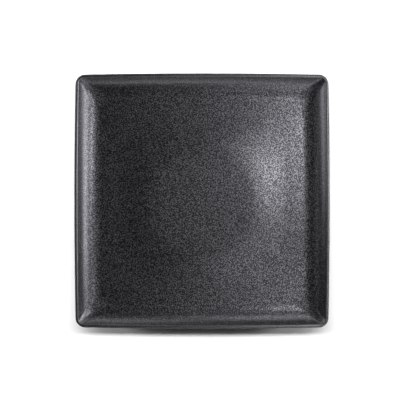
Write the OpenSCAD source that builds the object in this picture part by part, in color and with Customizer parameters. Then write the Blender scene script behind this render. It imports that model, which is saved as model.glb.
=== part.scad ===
// Square dinner plate in glazed stoneware, millimetres, standing on its foot at z = 0.
// The fired clay is one lofted shell: bowed sides, a rolled lip, a curved wall whose
// four runs meet in soft mitres, a low crown in the well, a foot that follows the
// outline and a round ring under the crown. The bare feet part the glaze into coats,
// and each coat is a solid of its own that lies on the clay face to face.

/* [Outline] */
// Width across the middles of two opposite sides
plate_w = 260; // [240:1:320]
// How far each side bows out at its middle
side_bow = 1.2; // [0.2:0.1:3]
// Corner radius at the outer edge, seen from above
corner_r = 10; // [8:0.5:20]

/* [Wall and lip] */
// Thickness of the floor, glaze included
floor_t = 5; // [4:0.25:7]
// Thickness of the rounded lip, glaze included
lip_t = 4; // [3:0.25:5]
// Radius of the curve that lifts the floor into the wall
wall_curve_r = 27; // [20:1:34]
// Slope of the wall just under the lip, in degrees
wall_slope = 55; // [40:1:65]
// Corner radius of the well where its floor turns up
well_corner_r = 14; // [10:1:24]

/* [Well] */
// Height of the middle of the well over its outer floor
crown_h = 2.5; // [0.2:0.1:3]
// How far out the round ring holds up the crown, as a share of the way to the foot
ring_place_share = 0.62; // [0.5:0.01:0.7]

/* [Feet] */
// Height of the floor's underside over the table
foot_h = 3.5; // [3.25:0.25:6]
// Distance from the wall's curve in to the foot's outer flank
foot_inset = 15; // [10:0.5:22]
// Width of the foot where it leaves the floor
foot_w = 7; // [5.5:0.5:9]
// Width of the round ring where it leaves the floor
ring_w = 6; // [5:0.5:8]
// Gap between the round ring and the table
ring_lift = 0.3; // [0.1:0.05:0.5]
// How far each flank of a foot leans in towards its standing face
foot_draft = 0.5; // [0:0.1:0.9]
// Radius of the fillet between a foot and the floor
foot_fillet = 1.3; // [0.6:0.1:1.4]
// Rounding along the edges of a standing face
foot_edge = 0.5; // [0.2:0.1:0.7]

/* [Glaze] */
// Thickness of every coat of glaze
glaze_t = 0.4; // [0.2:0.05:0.6]
// Height of the bare clay that is wiped clean on each foot
wiped_h = 1.1; // [0.8:0.1:1.2]

/* [Hidden] */

// Colours, as the photographed plate shows them; the clay is bare only on the feet
clay_colour = [0.50, 0.44, 0.37];
face_colour = [0.13, 0.13, 0.14];
back_colour = [0.10, 0.10, 0.11];

// Steps of the loft: round the outline, and along its section
side_steps = 3;
corner_steps = 6;
crown_steps = 2;
floor_steps = 3;
wall_steps = 7;
lip_steps = 6;
tuck_steps = 2;
fillet_steps = 2;
channel_steps = 3;
quarter_steps = 2 * side_steps + corner_steps;
ring_points = 4 * quarter_steps;

// The section, measured as reach from the plate's axis to the middle of a side
half_w = plate_w / 2;
lip_r = lip_t / 2;
lip_reach = half_w - lip_r;
wall_foot_reach = lip_reach - (wall_curve_r + lip_r) * sin(wall_slope);
wall_top_reach = wall_foot_reach + wall_curve_r * sin(wall_slope);
floor_z = foot_h + floor_t;
curve_z = floor_z + wall_curve_r;
lip_z = curve_z - (wall_curve_r + lip_r) * cos(wall_slope);
foot_outer = wall_foot_reach - foot_inset;
foot_inner = foot_outer - foot_w;
crown_r = ring_place_share * foot_inner;
ring_outer = crown_r + ring_w / 2;
ring_inner = crown_r - ring_w / 2;

// Half of the angle that a bowed side turns through
bow_angle = 2 * atan(side_bow / (half_w - corner_r));

function between(a, b, share) = a + (b - a) * share;
function clamped(share) = min(1, max(0, share));

// Height of the floor's crown at a reach: level inside the ring, and falling in a soft
// shoulder to none at the foot's outer flank
function crown(reach) =
    let (share = clamped((foot_outer - reach) / (foot_outer - crown_r)))
    crown_h * pow(share, 2) * (3 - 2 * share);
function under_z(reach) = foot_h + crown(reach);

// Corner radius of the loft: a true offset round the lip, then widening steadily inwards
wall_top_corner_r = corner_r - (half_w - wall_top_reach);
corner_growth_share =
    (well_corner_r - wall_top_corner_r) / (wall_top_reach - wall_foot_reach);
function corner_at(reach) =
    reach > wall_top_reach
        ? corner_r - (half_w - reach)
        : wall_top_corner_r + corner_growth_share * (wall_top_reach - reach);

// How round a ring is, 0 on the square outline and 1 on the round crown and ring
function roundness(reach, square_reach, round_reach) =
    clamped((square_reach - reach) / (square_reach - round_reach));
function face_roundness(reach) = roundness(reach, wall_foot_reach, crown_r);
function back_roundness(reach) =
    roundness(reach, foot_inner - foot_fillet, ring_outer + foot_fillet);

// A quarter of the bowed square with arc corners, from one side's middle to the next.
// The side's arc runs on into the corner's without a kink.
function quarter_outline(reach, r) =
    let (
        run = (reach - r * (cos(bow_angle) - sin(bow_angle))) / (1 + tan(bow_angle / 2)),
        side_r = run / sin(bow_angle),
        corner_mid = run - r * sin(bow_angle)
    )
    concat(
        [for (i = [0 : side_steps - 1])
            let (turn = bow_angle * i / side_steps)
            [reach - side_r * (1 - cos(turn)), side_r * sin(turn)]],
        [for (i = [0 : corner_steps])
            let (turn = between(bow_angle, 90 - bow_angle, i / corner_steps))
            [corner_mid + r * cos(turn), corner_mid + r * sin(turn)]],
        [for (i = [side_steps - 1 : -1 : 1])
            let (turn = bow_angle * i / side_steps)
            [side_r * sin(turn), reach - side_r * (1 - cos(turn))]]
    );

function quarter_circle(reach) =
    [for (i = [0 : quarter_steps - 1])
        let (turn = 90 * i / quarter_steps)
        [reach * cos(turn), reach * sin(turn)]];

function turned(p, turn) =
    [p[0] * cos(turn) - p[1] * sin(turn), p[0] * sin(turn) + p[1] * cos(turn)];

// One closed ring of the loft at height z
function loft_ring(reach, z, round_share) =
    let (
        square = quarter_outline(reach, corner_at(reach)),
        circle = quarter_circle(reach)
    )
    [for (q = [0 : 3], i = [0 : quarter_steps - 1])
        let (p = turned(between(square[i], circle[i], round_share), 90 * q))
        [p[0], p[1], z]];

// A station of the section is [reach, z, lean]. Lean is the angle of the surface's
// outward normal from straight up, positive towards the plate's axis.
function sunk(path, depth) =
    [for (s = path) [s[0] + depth * sin(s[2]), s[1] - depth * cos(s[2]), s[2]]];

// A concave fillet about its centre, and a convex edge, both by lean
function fillet(reach, z, r, lean_from, lean_to) =
    [for (i = [0 : fillet_steps])
        let (lean = between(lean_from, lean_to, i / fillet_steps))
        [reach + r * sin(lean), z - r * cos(lean), lean]];
function edge(reach, z, r, lean_from, lean_to) =
    [for (i = [0 : fillet_steps])
        let (lean = between(lean_from, lean_to, i / fillet_steps))
        [reach - r * sin(lean), z + r * cos(lean), lean]];

// The glazed face, from the crown out over the wall to the lip's widest line
face_path = concat(
    [for (i = [1 : crown_steps]) [crown_r * i / crown_steps, floor_z + crown_h, 0]],
    [for (i = [1 : floor_steps])
        let (reach = between(crown_r, foot_outer, i / floor_steps))
        [reach, floor_z + crown(reach), 0]],
    [[wall_foot_reach, floor_z, 0]],
    [for (i = [1 : wall_steps])
        let (t = wall_slope * i / wall_steps)
        [wall_foot_reach + wall_curve_r * sin(t), curve_z - wall_curve_r * cos(t), t]],
    [for (i = [1 : lip_steps])
        let (lean = between(wall_slope, -90, i / lip_steps))
        [lip_reach - lip_r * sin(lean), lip_z + lip_r * cos(lean), lean]]
);

// Reach of a foot's flank at height z, for a foot whose standing face lies at base_z.
// side is 1 on an outer flank and -1 on an inner one.
function flank_reach(root, side, z, base_z) =
    root - side * foot_draft
        * clamped((under_z(root) - foot_fillet - z)
            / (under_z(root) - foot_fillet - base_z - foot_edge));

// The glazed back, from the lip's widest line in under the wall and down the foot
back_path = concat(
    [for (i = [0 : tuck_steps])
        let (lean = between(-90, wall_slope - 180, i / tuck_steps))
        [lip_reach - lip_r * sin(lean), lip_z + lip_r * cos(lean), lean]],
    [for (i = [wall_steps - 1 : -1 : 0])
        let (
            t = wall_slope * i / wall_steps,
            r = wall_curve_r + between(floor_t, lip_t, i / wall_steps)
        )
        [wall_foot_reach + r * sin(t), curve_z - r * cos(t), t - 180]],
    fillet(foot_outer + foot_fillet, under_z(foot_outer) - foot_fillet, foot_fillet, -180, -90),
    [[flank_reach(foot_outer, 1, wiped_h, 0), wiped_h, -90]]
);

// The glazed floor between the foot and the round ring
channel_path = concat(
    [[flank_reach(foot_inner, -1, wiped_h, 0), wiped_h, 90]],
    fillet(foot_inner - foot_fillet, under_z(foot_inner) - foot_fillet, foot_fillet, 90, 180),
    [for (i = [1 : channel_steps - 1])
        let (reach = between(foot_inner - foot_fillet, ring_outer + foot_fillet, i / channel_steps))
        [reach, under_z(reach), 180]],
    fillet(ring_outer + foot_fillet, under_z(ring_outer) - foot_fillet, foot_fillet, 180, 270),
    [[flank_reach(ring_outer, 1, ring_lift + wiped_h, ring_lift), ring_lift + wiped_h, 270]]
);

// The glazed floor inside the round ring, in to the middle
centre_path = concat(
    [[flank_reach(ring_inner, -1, ring_lift + wiped_h, ring_lift), ring_lift + wiped_h, 90]],
    fillet(ring_inner - foot_fillet, under_z(ring_inner) - foot_fillet, foot_fillet, 90, 180),
    [[ring_inner / 2, under_z(0), 180]]
);

// The bare standing face of a foot and its two rounded edges, in the clay itself
function bare_path(outer, inner, base_z) =
    let (
        out_reach = flank_reach(outer, 1, base_z, base_z) - glaze_t,
        in_reach = flank_reach(inner, -1, base_z, base_z) + glaze_t
    )
    concat(
        edge(out_reach - foot_edge, base_z + foot_edge, foot_edge, -90, -180),
        edge(in_reach + foot_edge, base_z + foot_edge, foot_edge, 180, 90)
    );

// Rings of a path on the face or on the back
function face_rings(path) = [for (s = path) loft_ring(s[0], s[1], face_roundness(s[0]))];
function back_rings(path) = [for (s = path) loft_ring(s[0], s[1], back_roundness(s[0]))];
function reversed(list) = [for (i = [len(list) - 1 : -1 : 0]) list[i]];
function after_first(list) = [for (i = [1 : len(list) - 1]) list[i]];
function flattened(lists) = [for (list = lists, item = list) item];

// Triangles between ring number a and ring number b, seen from outside the solid
function band_faces(a, b) =
    [for (i = [0 : ring_points - 1])
        let (
            next = (i + 1) % ring_points,
            a0 = a * ring_points + i,
            a1 = a * ring_points + next,
            b0 = b * ring_points + i,
            b1 = b * ring_points + next
        )
        each [[a0, a1, b0], [a1, b1, b0]]];

// A loft whose rings start and end at a point on the plate's axis
module closed_loft(rings, first_z, last_z) {
    last = len(rings) - 1;
    top = len(rings) * ring_points;
    bottom = top + 1;
    polyhedron(
        points = concat(flattened(rings), [[0, 0, first_z], [0, 0, last_z]]),
        faces = concat(
            [for (i = [0 : ring_points - 1]) [top, (i + 1) % ring_points, i]],
            flattened([for (k = [0 : last - 1]) band_faces(k, k + 1)]),
            [for (i = [0 : ring_points - 1])
                [last * ring_points + i, last * ring_points + (i + 1) % ring_points, bottom]]
        )
    );
}

// A loft whose last ring joins its first, such as a coat with a hole in its middle
module looped_loft(rings) {
    count = len(rings);
    polyhedron(
        points = flattened(rings),
        faces = flattened([for (k = [0 : count - 1]) band_faces(k, (k + 1) % count)])
    );
}

module stoneware_body() {
    color(clay_colour)
        closed_loft(
            concat(
                face_rings(sunk(face_path, glaze_t)),
                back_rings(after_first(sunk(back_path, glaze_t))),
                back_rings(bare_path(foot_outer, foot_inner, 0)),
                back_rings(sunk(channel_path, glaze_t)),
                back_rings(bare_path(ring_outer, ring_inner, ring_lift)),
                back_rings(sunk(centre_path, glaze_t))
            ),
            floor_z + crown_h - glaze_t,
            under_z(0) + glaze_t
        );
}

module face_glaze() {
    color(face_colour)
        closed_loft(
            concat(face_rings(face_path), reversed(face_rings(sunk(face_path, glaze_t)))),
            floor_z + crown_h,
            floor_z + crown_h - glaze_t
        );
}

module back_glaze() {
    color(back_colour)
        looped_loft(
            concat(back_rings(back_path), reversed(back_rings(sunk(back_path, glaze_t))))
        );
}

module channel_glaze() {
    color(back_colour)
        looped_loft(
            concat(back_rings(channel_path), reversed(back_rings(sunk(channel_path, glaze_t))))
        );
}

module centre_glaze() {
    color(back_colour)
        closed_loft(
            concat(
                reversed(back_rings(sunk(centre_path, glaze_t))),
                back_rings(centre_path)
            ),
            under_z(0) + glaze_t,
            under_z(0)
        );
}

stoneware_body();
face_glaze();
back_glaze();
channel_glaze();
centre_glaze();
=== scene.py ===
"""A square dinner plate in matt black glazed stoneware, seen from straight above on a pale floor.

Every shell of the plate is a loft: a ring of edges is drawn round the bowed outline, then
extruded ring by ring along the plate's section. The section is worked out from the frame's
own boxes and a few named sizes, so each piece lies where the frame has it.
"""

import math

import bmesh
import bpy
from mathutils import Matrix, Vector


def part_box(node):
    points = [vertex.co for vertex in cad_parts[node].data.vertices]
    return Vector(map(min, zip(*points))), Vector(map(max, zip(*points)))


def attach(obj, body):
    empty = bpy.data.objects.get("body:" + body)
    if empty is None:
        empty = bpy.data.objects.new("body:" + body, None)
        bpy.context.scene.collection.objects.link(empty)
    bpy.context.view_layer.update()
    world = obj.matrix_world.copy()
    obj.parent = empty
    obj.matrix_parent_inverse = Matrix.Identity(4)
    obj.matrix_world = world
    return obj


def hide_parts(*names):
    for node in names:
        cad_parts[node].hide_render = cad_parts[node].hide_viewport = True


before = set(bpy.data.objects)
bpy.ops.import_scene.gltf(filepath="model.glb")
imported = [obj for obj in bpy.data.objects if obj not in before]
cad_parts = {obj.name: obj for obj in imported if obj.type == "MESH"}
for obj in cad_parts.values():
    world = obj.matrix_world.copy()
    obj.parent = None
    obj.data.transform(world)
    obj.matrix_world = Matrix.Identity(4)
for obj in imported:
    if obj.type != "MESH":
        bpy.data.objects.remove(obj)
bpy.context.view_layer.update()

MM = 0.001

# Sizes that the frame's boxes give
FACE_LOW, FACE_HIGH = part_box("face_glaze")
CLAY_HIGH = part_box("stoneware_body")[1]
LIP_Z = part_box("back_glaze")[1].z
HALF_W = FACE_HIGH.x
GLAZE_T = HALF_W - CLAY_HIGH.x
FLOOR_Z = FACE_LOW.z + GLAZE_T
LIP_R = FACE_HIGH.z - LIP_Z

# Sizes of the section and the outline that no box gives
SIDE_BOW = 1.2 * MM
CORNER_R = 10 * MM
WELL_CORNER_R = 14 * MM
WALL_CURVE_R = 27 * MM
WALL_SLOPE = math.radians(55)
FLOOR_T = 5 * MM
CROWN_H = 2.5 * MM
RING_PLACE_SHARE = 0.62
FOOT_INSET = 15 * MM
FOOT_W = 7 * MM
RING_W = 6 * MM
RING_LIFT = 0.3 * MM
FOOT_DRAFT = 0.5 * MM
FOOT_FILLET = 1.3 * MM
FOOT_EDGE = 0.5 * MM
WIPED_H = 1.1 * MM

# How finely each stretch of the outline and of the section is drawn
SIDE_STEPS = 14
CORNER_STEPS = 24
CROWN_STEPS = 12
SHOULDER_STEPS = 30
FLAT_STEPS = 6
WALL_STEPS = 30
LIP_STEPS = 18
TUCK_STEPS = 8
FILLET_STEPS = 6
CHANNEL_STEPS = 12

# Where up the wall the face's grain starts to fade, and over how much of it, as shares of the wall
GRAIN_FADE_START = 0.25
GRAIN_FADE_SPAN = 0.5

# How smooth the glaze is from there up to the wall's top, where 1 is without grain
WALL_TOP_SMOOTH = 0.86

# The lip's glaze thins as the lip turns outwards, and is at its thinnest from this lean on
THINNEST_LEAN = math.radians(-36)

# Creases sharper than this stay crisp
CREASE_ANGLE = math.radians(50)

# The section's places, as reach from the plate's axis to the middle of a side
FOOT_H = FLOOR_Z - FLOOR_T
LIP_REACH = HALF_W - LIP_R
LIP_T = 2 * LIP_R
WALL_FOOT_REACH = LIP_REACH - (WALL_CURVE_R + LIP_R) * math.sin(WALL_SLOPE)
WALL_TOP_REACH = WALL_FOOT_REACH + WALL_CURVE_R * math.sin(WALL_SLOPE)
CURVE_Z = FLOOR_Z + WALL_CURVE_R
FOOT_OUTER = WALL_FOOT_REACH - FOOT_INSET
FOOT_INNER = FOOT_OUTER - FOOT_W
CROWN_R = RING_PLACE_SHARE * FOOT_INNER
RING_OUTER = CROWN_R + RING_W / 2
RING_INNER = CROWN_R - RING_W / 2
BOW_ANGLE = 2 * math.atan(SIDE_BOW / (HALF_W - CORNER_R))

# Leans of a surface's outward normal from straight up, positive towards the axis
OUTWARD = -math.pi / 2
DOWN = math.pi
INWARD = math.pi / 2


def between(a, b, share):
    return a + (b - a) * share


def clamped(share):
    return min(1.0, max(0.0, share))


def steps(count, first=0):
    """Shares from first / count up to 1."""
    return [i / count for i in range(first, count + 1)]


def crown(reach):
    """Height of the floor's crown, falling in a soft shoulder from the ring to the foot."""
    share = clamped((FOOT_OUTER - reach) / (FOOT_OUTER - CROWN_R))
    return CROWN_H * share**2 * (3 - 2 * share)


def under_z(reach):
    """Height of the floor's underside, which follows the crown."""
    return FOOT_H + crown(reach)


def corner_at(reach):
    """Corner radius: a true offset round the lip, then widening steadily inwards."""
    if reach > WALL_TOP_REACH:
        return CORNER_R - (HALF_W - reach)
    top_r = CORNER_R - (HALF_W - WALL_TOP_REACH)
    growth = (WELL_CORNER_R - top_r) / (WALL_TOP_REACH - WALL_FOOT_REACH)
    return top_r + growth * (WALL_TOP_REACH - reach)


def face_roundness(reach):
    """How round the face's ring is: 0 at the wall's foot, 1 on the crown."""
    return clamped((WALL_FOOT_REACH - reach) / (WALL_FOOT_REACH - CROWN_R))


def back_roundness(reach):
    """How round the back's ring is: 0 at the foot, 1 at the support ring."""
    square_reach = FOOT_INNER - FOOT_FILLET
    round_reach = RING_OUTER + FOOT_FILLET
    return clamped((square_reach - reach) / (square_reach - round_reach))


QUARTER_STEPS = 2 * SIDE_STEPS + CORNER_STEPS
RING_POINTS = 4 * QUARTER_STEPS


def outline_point(place, reach, roundness):
    """Where point number place lies on a ring: on the bowed square, the circle or between."""
    quarter, step = divmod(place, QUARTER_STEPS)
    corner_r = corner_at(reach)
    run = (reach - corner_r * (math.cos(BOW_ANGLE) - math.sin(BOW_ANGLE))) / (
        1 + math.tan(BOW_ANGLE / 2)
    )
    side_r = run / math.sin(BOW_ANGLE)
    corner_mid = run - corner_r * math.sin(BOW_ANGLE)
    if step < SIDE_STEPS:
        turn = BOW_ANGLE * step / SIDE_STEPS
        square = (reach - side_r * (1 - math.cos(turn)), side_r * math.sin(turn))
    elif step <= SIDE_STEPS + CORNER_STEPS:
        share = (step - SIDE_STEPS) / CORNER_STEPS
        turn = between(BOW_ANGLE, math.pi / 2 - BOW_ANGLE, share)
        square = (corner_mid + corner_r * math.cos(turn), corner_mid + corner_r * math.sin(turn))
    else:
        turn = BOW_ANGLE * (QUARTER_STEPS - step) / SIDE_STEPS
        square = (side_r * math.sin(turn), reach - side_r * (1 - math.cos(turn)))
    round_turn = math.pi / 2 * step / QUARTER_STEPS
    circle = (reach * math.cos(round_turn), reach * math.sin(round_turn))
    x = between(square[0], circle[0], roundness)
    y = between(square[1], circle[1], roundness)
    for _ in range(quarter):
        x, y = -y, x
    return x, y


# A station of the section is (reach, z, lean, smooth): smooth is 1 where the glaze has no grain
def sunk(path, depth):
    """The same path, moved into the plate square to its surface."""
    return [
        (reach + depth * math.sin(lean), z - depth * math.cos(lean), lean, smooth)
        for reach, z, lean, smooth in path
    ]


def rounded(path, roundness):
    """Adds to each station how round its ring is."""
    return [(*station, roundness(station[0])) for station in path]


def swing(lean_from, lean_to, count, first=0):
    """Leans in even steps from one to the other."""
    return [between(lean_from, lean_to, share) for share in steps(count, first)]


def arc(reach, z, radius, leans):
    """Stations round the centre at reach and z; a hollow arc has a negative radius."""
    return [
        (reach - radius * math.sin(lean), z + radius * math.cos(lean), lean, 1) for lean in leans
    ]


def fillet(reach, z, lean_from, lean_to):
    """The hollow quarter where a foot grows out of the underside."""
    return arc(reach, z, -FOOT_FILLET, swing(lean_from, lean_to, FILLET_STEPS))


def edge(reach, z, lean_from, lean_to):
    """The rounded quarter beside a foot's standing face."""
    return arc(reach, z, FOOT_EDGE, swing(lean_from, lean_to, FILLET_STEPS))


def lip_arc(lean_from, lean_to, count, first=0):
    """The lip's round, from one lean to the other."""
    return arc(LIP_REACH, LIP_Z, LIP_R, swing(lean_from, lean_to, count, first))


def face_path():
    """The glazed face, from the crown out over the wall to the lip's widest line."""
    path = [(CROWN_R * share, FLOOR_Z + CROWN_H, 0, 0) for share in steps(CROWN_STEPS, 1)]
    for share in steps(SHOULDER_STEPS, 1):
        reach = between(CROWN_R, FOOT_OUTER, share)
        path.append((reach, FLOOR_Z + crown(reach), 0, 0))
    for share in steps(FLAT_STEPS, 1):
        path.append((between(FOOT_OUTER, WALL_FOOT_REACH, share), FLOOR_Z, 0, 0))
    for share in steps(WALL_STEPS, 1):
        lean = WALL_SLOPE * share
        reach = WALL_FOOT_REACH + WALL_CURVE_R * math.sin(lean)
        z = CURVE_Z - WALL_CURVE_R * math.cos(lean)
        smooth = WALL_TOP_SMOOTH * clamped((share - GRAIN_FADE_START) / GRAIN_FADE_SPAN)
        path.append((reach, z, lean, smooth))
    return path + lip_arc(WALL_SLOPE, OUTWARD, LIP_STEPS, 1)


def flank_reach(root, side, z, base_z):
    """Reach of a foot's flank at height z; side is 1 on an outer flank, -1 on an inner one."""
    top = under_z(root) - FOOT_FILLET
    return root - side * FOOT_DRAFT * clamped((top - z) / (top - base_z - FOOT_EDGE))


def back_path():
    """The glazed back, from the lip's widest line in under the wall and down the foot."""
    path = lip_arc(OUTWARD, WALL_SLOPE - math.pi, TUCK_STEPS)
    for share in reversed(steps(WALL_STEPS)[:-1]):
        lean = WALL_SLOPE * share
        radius = WALL_CURVE_R + between(FLOOR_T, LIP_T, share)
        reach = WALL_FOOT_REACH + radius * math.sin(lean)
        z = CURVE_Z - radius * math.cos(lean)
        path.append((reach, z, lean - math.pi, 1))
    top = under_z(FOOT_OUTER) - FOOT_FILLET
    path += fillet(FOOT_OUTER + FOOT_FILLET, top, -math.pi, OUTWARD)
    path.append((flank_reach(FOOT_OUTER, 1, WIPED_H, 0), WIPED_H, OUTWARD, 1))
    return path


def channel_path():
    """The glazed floor between the foot and the round ring."""
    wiped_z = RING_LIFT + WIPED_H
    square_end = FOOT_INNER - FOOT_FILLET
    round_end = RING_OUTER + FOOT_FILLET
    path = [(flank_reach(FOOT_INNER, -1, WIPED_H, 0), WIPED_H, INWARD, 1)]
    path += fillet(square_end, under_z(FOOT_INNER) - FOOT_FILLET, INWARD, DOWN)
    for share in steps(CHANNEL_STEPS, 1)[:-1]:
        reach = between(square_end, round_end, share)
        path.append((reach, under_z(reach), DOWN, 1))
    top = under_z(RING_OUTER) - FOOT_FILLET
    path += fillet(round_end, top, DOWN, 2 * math.pi + OUTWARD)
    path.append((flank_reach(RING_OUTER, 1, wiped_z, RING_LIFT), wiped_z, OUTWARD, 1))
    return path


def centre_path():
    """The glazed floor inside the round ring, in to the middle."""
    wiped_z = RING_LIFT + WIPED_H
    flat_end = RING_INNER - FOOT_FILLET
    path = [(flank_reach(RING_INNER, -1, wiped_z, RING_LIFT), wiped_z, INWARD, 1)]
    path += fillet(flat_end, under_z(RING_INNER) - FOOT_FILLET, INWARD, DOWN)
    for share in steps(CROWN_STEPS, 1)[:-1]:
        path.append((flat_end * (1 - share), under_z(0), DOWN, 1))
    return path


def bare_path(outer, inner, base_z):
    """The bare standing face of a foot and its two rounded edges, in the clay itself."""
    out_reach = flank_reach(outer, 1, base_z, base_z) - GLAZE_T
    in_reach = flank_reach(inner, -1, base_z, base_z) + GLAZE_T
    level = base_z + FOOT_EDGE
    outside = edge(out_reach - FOOT_EDGE, level, OUTWARD, -DOWN)
    inside = edge(in_reach + FOOT_EDGE, level, DOWN, INWARD)
    return outside + inside


def extruded(bm, edges):
    """Extrudes the edges and gives back the new ring of points."""
    grown = bmesh.ops.extrude_edge_only(bm, edges=edges)["geom"]
    return [item for item in grown if isinstance(item, bmesh.types.BMVert)]


def ring_edges(ring):
    """The edges that run round a ring of points, each once."""
    members = set(ring)
    edges = [e for point in ring for e in point.link_edges if e.other_vert(point) in members]
    return list(dict.fromkeys(edges))


def loft(name, path, looped=False):
    """Draws the path's first ring and extrudes it along the rest, then shuts the shell.

    A looped path's last ring is bridged to its first. Else both ends are closed on the axis.
    Each point carries how smooth and how thin its glaze is, for the face's material to read.
    """
    bm = bmesh.new()
    number = bm.verts.layers.int.new("place")
    smooth = bm.verts.layers.float.new("smooth_glaze")
    thin = bm.verts.layers.float.new("thin_glaze")
    ring = bmesh.ops.create_circle(bm, cap_ends=False, segments=RING_POINTS, radius=HALF_W)["verts"]
    for place, point in enumerate(ring):
        point[number] = place
    rims = []
    for station, (reach, z, lean, grainless, roundness) in enumerate(path):
        if station:
            ring = extruded(bm, rims[-1])
        for point in ring:
            x, y = outline_point(point[number], reach, roundness)
            point.co = (x, y, z)
            point[smooth] = grainless
            point[thin] = clamped(lean / THINNEST_LEAN)
        rims.append(ring_edges(ring))
    if looped:
        bmesh.ops.bridge_loops(bm, edges=rims[0] + rims[-1])
    else:
        for rim, station in ((rims[0], path[0]), (rims[-1], path[-1])):
            pole = (0, 0, station[1])
            bmesh.ops.pointmerge(bm, verts=extruded(bm, rim), merge_co=pole)
    bmesh.ops.recalc_face_normals(bm, faces=bm.faces[:])
    for face in bm.faces:
        face.smooth = True
    mesh = bpy.data.meshes.new(name)
    bm.to_mesh(mesh)
    bm.free()
    mesh.set_sharp_from_angle(angle=CREASE_ANGLE)
    piece = bpy.data.objects.new(name, mesh)
    bpy.context.scene.collection.objects.link(piece)
    return piece


class Signal:
    """A socket that carries a number, so that shader maths reads as a plain sum."""

    def __init__(self, nodes, socket):
        self.nodes = nodes
        self.socket = socket

    def maths(self, operation, *terms):
        return self.nodes.add("ShaderNodeMath", {"operation": operation}, dict(enumerate(terms)))

    def __add__(self, other):
        return self.maths("ADD", self, other)

    def __sub__(self, other):
        return self.maths("SUBTRACT", self, other)

    def __rsub__(self, other):
        return self.maths("SUBTRACT", other, self)

    def __mul__(self, other):
        return self.maths("MULTIPLY", self, other)

    __radd__ = __add__
    __rmul__ = __mul__


class Nodes:
    """The node tree of one material or of the world."""

    def __init__(self, owner):
        owner.use_nodes = True
        self.tree = owner.node_tree
        self.tree.nodes.clear()

    def add(self, kind, settings=None, sockets=None, out=0):
        """Adds a node: its settings first, then the values or links of its sockets."""
        node = self.tree.nodes.new(kind)
        for setting, value in (settings or {}).items():
            if setting == "stops":
                self.set_stops(node.color_ramp, value)
            else:
                setattr(node, setting, value)
        for place, value in (sockets or {}).items():
            if isinstance(value, Signal):
                self.tree.links.new(value.socket, node.inputs[place])
            else:
                node.inputs[place].default_value = value
        return Signal(self, node.outputs[out]) if node.outputs else None

    @staticmethod
    def set_stops(ramp, stops):
        while len(ramp.elements) < len(stops):
            ramp.elements.new(1)
        for element, (position, colour) in zip(ramp.elements, stops):
            element.position = position
            element.color = colour

    def place_in_mm(self):
        """Object coordinates in millimetres, turned so that no noise lines up with the plate."""
        coordinates = self.add("ShaderNodeTexCoord", out=3)
        return self.add(
            "ShaderNodeMapping",
            {"vector_type": "POINT"},
            {"Vector": coordinates, "Rotation": (0.5, 0.4, 0.7), "Scale": (1 / MM, 1 / MM, 1 / MM)},
        )

    def noise(self, place, size_mm, detail=2.0, roughness=0.5):
        """Noise whose lumps are about size_mm across, from 0 to 1."""
        return self.add(
            "ShaderNodeTexNoise",
            {"noise_dimensions": "3D"},
            {"Vector": place, "Scale": 1 / size_mm, "Detail": detail, "Roughness": roughness},
        )

    def attribute(self, name):
        """A number that each point of the piece carries."""
        return self.add("ShaderNodeAttribute", {"attribute_name": name}, out=2)

    def ramp(self, share, *stops):
        """A colour that runs through the stops, each a share and its colour."""
        return self.add("ShaderNodeValToRGB", {"stops": stops}, {"Fac": share})

    def bump(self, height, distance):
        """A normal turned as if the surface rose by distance where height is 1."""
        return self.add(
            "ShaderNodeBump", {}, {"Strength": 1.0, "Distance": distance, "Height": height}
        )


def grey(level):
    return (level, level, level, 1)


# The face's grain, in millimetres: how far apart its lumps lie, and how deep they are
SPECK_MM = 1.04
WRINKLE_MM = 1.45
WRINKLE_DEPTH = 0.21
SWELL_MM = 7.0
SWELL_DEPTH = 0.03
CLOUD_MM = 38.0

# The face's roughness: where the glaze is full, and what its clouds and its thinning add
FULL_ROUGH = 0.285
CLOUD_ROUGH = 0.02
THIN_ROUGH = 0.35

# How much of the clear top coat shows where the glaze is smooth
WALL_GLOSS = 0.25
LIP_GLOSS = 0.5

GLAZE_BLACK = grey(0.0002)
SPECK_GREY = (0.0640, 0.0618, 0.0605, 1)


def matt_face():
    """Matt black glaze, finely grained in the well, smooth over the lip and duller where thin."""
    material = bpy.data.materials.new("matt_black_face")
    nodes = Nodes(material)
    place = nodes.place_in_mm()
    smooth = nodes.attribute("smooth_glaze")
    thin = nodes.attribute("thin_glaze")
    wrinkles = nodes.noise(place, WRINKLE_MM, detail=0.0)
    swells = nodes.noise(place, SWELL_MM, detail=0.0)
    relief = (1 - smooth) * (WRINKLE_DEPTH * wrinkles + SWELL_DEPTH * swells)
    clouds = nodes.noise(place, CLOUD_MM, detail=3.0)
    specks = nodes.noise(place, SPECK_MM, detail=0.0)
    colour = nodes.ramp(specks, (0.51, GLAZE_BLACK), (0.66, SPECK_GREY))
    shine = nodes.ramp(specks, (0.43, grey(0)), (0.65, grey(1)))
    gloss = nodes.ramp(smooth, (WALL_TOP_SMOOTH, grey(WALL_GLOSS)), (1.0, grey(LIP_GLOSS)))
    surface = nodes.add(
        "ShaderNodeBsdfPrincipled",
        {},
        {
            "Base Color": colour,
            "Roughness": FULL_ROUGH + CLOUD_ROUGH * clouds + THIN_ROUGH * thin,
            "IOR": 1.52,
            "Normal": nodes.bump(relief, MM),
            "Coat Weight": (1 - thin) * (gloss * smooth + (1 - smooth) * shine),
            "Coat Roughness": 0.30,
            "Coat IOR": 2.15,
        },
    )
    nodes.add("ShaderNodeOutputMaterial", {}, {"Surface": surface})
    return material


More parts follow.
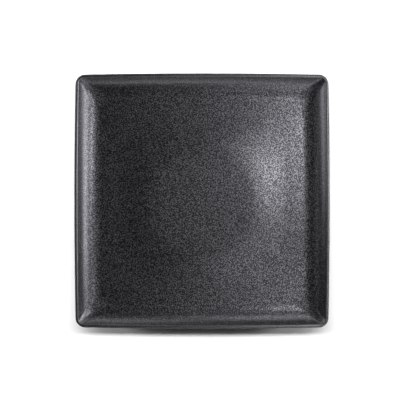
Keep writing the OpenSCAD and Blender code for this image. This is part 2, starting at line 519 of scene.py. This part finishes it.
def satin_back():
    """Smooth satin black glaze with a faint ripple."""
    material = bpy.data.materials.new("satin_black_back")
    nodes = Nodes(material)
    place = nodes.place_in_mm()
    ripple = nodes.noise(place, 6.0)
    clouds = nodes.noise(place, 30.0, detail=3.0)
    colour = nodes.ramp(
        clouds,
        (0.3, (0.011, 0.011, 0.012, 1)),
        (0.75, (0.018, 0.017, 0.018, 1)),
    )
    surface = nodes.add(
        "ShaderNodeBsdfPrincipled",
        {},
        {
            "Base Color": colour,
            "Roughness": 0.22 + 0.05 * clouds,
            "IOR": 1.8,
            "Normal": nodes.bump(ripple, 0.03 * MM),
        },
    )
    nodes.add("ShaderNodeOutputMaterial", {}, {"Surface": surface})
    return material


def bare_clay():
    """Bare fired stoneware with iron specks."""
    material = bpy.data.materials.new("bare_stoneware")
    nodes = Nodes(material)
    place = nodes.place_in_mm()
    grit = nodes.noise(place, 0.9, detail=4.0, roughness=0.65)
    specks = nodes.noise(place, 0.7, detail=1.0)
    colour = nodes.ramp(
        specks,
        (0.28, (0.055, 0.038, 0.026, 1)),
        (0.34, (0.19, 0.145, 0.105, 1)),
        (0.75, (0.27, 0.215, 0.16, 1)),
    )
    surface = nodes.add(
        "ShaderNodeBsdfPrincipled",
        {},
        {
            "Base Color": colour,
            "Roughness": 0.78 + 0.12 * grit,
            "Normal": nodes.bump(grit, 0.06 * MM),
        },
    )
    nodes.add("ShaderNodeOutputMaterial", {}, {"Surface": surface})
    return material


def build_plate():
    """The clay body and its four coats, each in place of its node."""
    face = face_path()
    face_under = sunk(face, GLAZE_T)
    back = back_path()
    back_under = sunk(back, GLAZE_T)
    channel = channel_path()
    channel_under = sunk(channel, GLAZE_T)
    centre = centre_path()
    centre_under = sunk(centre, GLAZE_T)
    underside = (
        back_under[1:]
        + bare_path(FOOT_OUTER, FOOT_INNER, 0)
        + channel_under
        + bare_path(RING_OUTER, RING_INNER, RING_LIFT)
        + centre_under
    )
    clay = rounded(face_under, face_roundness) + rounded(underside, back_roundness)
    face_shell = rounded(face + face_under[::-1], face_roundness)
    back_shell = rounded(back + back_under[::-1], back_roundness)
    channel_shell = rounded(channel + channel_under[::-1], back_roundness)
    centre_shell = rounded(centre_under[::-1] + centre, back_roundness)
    return {
        "stoneware_body": loft("clay_body", clay),
        "face_glaze": loft("face_coat", face_shell),
        "back_glaze": loft("back_coat", back_shell, looped=True),
        "channel_glaze": loft("channel_coat", channel_shell, looped=True),
        "centre_glaze": loft("centre_coat", centre_shell),
    }


clay_material = bare_clay()
face_material = matt_face()
back_material = satin_back()
finishes = {
    "stoneware_body": (clay_material, "fired_clay"),
    "face_glaze": (face_material, "matt_face_glaze"),
    "back_glaze": (back_material, "satin_back_glaze"),
    "channel_glaze": (back_material, "satin_back_glaze"),
    "centre_glaze": (back_material, "satin_back_glaze"),
}
plate = build_plate()
for node, piece in plate.items():
    piece.data.materials.append(finishes[node][0])
    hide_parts(node)
    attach(piece, "root")

# The floor is white, and has lamps of its own, so that the plate throws a shadow on it
FLOOR_W = 4.0
FLOOR_WHITE = 0.9


def build_floor():
    """One large flat face at the plate's foot."""
    bm = bmesh.new()
    bmesh.ops.create_grid(bm, x_segments=1, y_segments=1, size=FLOOR_W / 2)
    mesh = bpy.data.meshes.new("floor")
    bm.to_mesh(mesh)
    bm.free()
    floor = bpy.data.objects.new("floor", mesh)
    bpy.context.scene.collection.objects.link(floor)
    material = bpy.data.materials.new("pale_floor")
    nodes = Nodes(material)
    surface = nodes.add("ShaderNodeBsdfDiffuse", {}, {"Color": grey(FLOOR_WHITE)})
    nodes.add("ShaderNodeOutputMaterial", {}, {"Surface": surface})
    mesh.materials.append(material)
    return floor


floor = build_floor()


def group(name, members):
    """A collection that a lamp can be told to light."""
    collection = bpy.data.collections.new(name)
    for member in members:
        collection.objects.link(member)
    return collection


plate_group = group("lit_plate", plate.values())
floor_group = group("lit_floor", [floor])


# Watts for each square metre that give a lamp a radiance of 1
POWER_FOR_RADIANCE = 4

COOL_WHITE = (0.98, 0.98, 1.08)
WHITE = (1, 1, 1)


def area_lamp(name, place, aim, size, radiance, colour, lit):
    """A rectangular lamp at place that faces aim and lights only the group lit."""
    data = bpy.data.lights.new(name, "AREA")
    data.shape = "RECTANGLE"
    data.size, data.size_y = size
    data.energy = radiance * POWER_FOR_RADIANCE * size[0] * size[1]
    data.color = colour
    lamp = bpy.data.objects.new(name, data)
    lamp.location = place
    lamp.rotation_euler = (aim - place).to_track_quat("-Z", "Y").to_euler()
    lamp.light_linking.receiver_collection = lit
    bpy.context.scene.collection.objects.link(lamp)


def away_at(azimuth, elevation):
    """The direction at these angles in degrees; azimuth 0 lies towards +X."""
    turn = math.radians(azimuth)
    rise = math.radians(elevation)
    level = math.cos(rise)
    return Vector((math.cos(turn) * level, math.sin(turn) * level, math.sin(rise)))


# The plate's lamps: name, azimuth, elevation, distance from the well's middle, size, radiance
SOFTBOXES = (
    ("key", 8, 36, 0.6, (0.44, 0.22), 5.1),
    ("key_low", 25, 22, 0.6, (0.40, 0.11), 2.4),
    ("key_peak", 22, 65, 0.6, (0.18, 0.12), 7.0),
    ("right_back", 70, 34, 0.6, (0.32, 0.24), 1.7),
    ("right_front", 303, 40, 0.6, (0.36, 0.26), 1.7),
    ("high_front", 306, 65, 0.6, (0.24, 0.13), 1.4),
    ("high_back", 78, 67, 0.6, (0.24, 0.12), 0.3),
    ("overhead", 0, 90, 1.0, (0.18, 0.18), 0.7),
    ("front", 268, 22, 0.6, (0.44, 0.14), 1.6),
    ("left_back", 131, 17, 0.6, (0.90, 0.22), 1.2),
    ("left", 176, 44, 0.6, (0.36, 0.16), 0.4),
    ("rim_right", 15, 4, 0.6, (0.62, 0.06), 0.6),
    ("rim_right_back", 30, 12, 0.6, (0.30, 0.12), 1.5),
    ("rim_left_back", 156, 6, 0.6, (0.55, 0.10), 3.5),
    ("rim_front", 285, 5, 0.6, (0.85, 0.09), 0.8),
)
well_middle = Vector((0, 0, FLOOR_Z))
for name, azimuth, elevation, distance, size, radiance in SOFTBOXES:
    place = well_middle + away_at(azimuth, elevation) * distance
    area_lamp(name, place, well_middle, size, radiance, COOL_WHITE, plate_group)

# The floor's lamps, a strip behind the plate and one at each end: name, place, size, radiance
FLOOR_LAMPS = (
    ("floor_strip", (0, 0.43, 1.0), (4.0, 0.24), 10.4),
    ("floor_right", (1.5, 0.12, 0.38), (0.24, 0.24), 70.0),
    ("floor_left", (-1.5, 0.12, 0.38), (0.24, 0.24), 70.0),
)
for name, place, size, radiance in FLOOR_LAMPS:
    area_lamp(name, Vector(place), Vector((0, 0, 0)), size, radiance, WHITE, floor_group)

WORLD_STRENGTH = 0.03
world = bpy.data.worlds.new("studio")
bpy.context.scene.world = world
nodes = Nodes(world)
background = nodes.add("ShaderNodeBackground", {}, {"Color": grey(1), "Strength": WORLD_STRENGTH})
nodes.add("ShaderNodeOutputWorld", {}, {"Surface": background})

# The camera looks straight down, and its frame holds the plate as the photograph does
PICTURE_SIDE_PX = 400
PLATE_SIDE_PX = 255.3
PLATE_CENTRE_PX = (202.0, 201.0)
CAMERA_DISTANCE = 0.75
SENSOR_W = 36.0


def build_camera():
    pixel = 2 * HALF_W / PLATE_SIDE_PX
    data = bpy.data.cameras.new("camera")
    data.sensor_width = SENSOR_W
    data.lens = SENSOR_W * CAMERA_DISTANCE / (PICTURE_SIDE_PX * pixel)
    camera = bpy.data.objects.new("camera", data)
    middle = PICTURE_SIDE_PX / 2
    camera.location = (
        (middle - PLATE_CENTRE_PX[0]) * pixel,
        (PLATE_CENTRE_PX[1] - middle) * pixel,
        LIP_Z + CAMERA_DISTANCE,
    )
    bpy.context.scene.collection.objects.link(camera)
    bpy.context.scene.camera = camera


build_camera()
bpy.context.scene.view_settings.view_transform = "Standard"
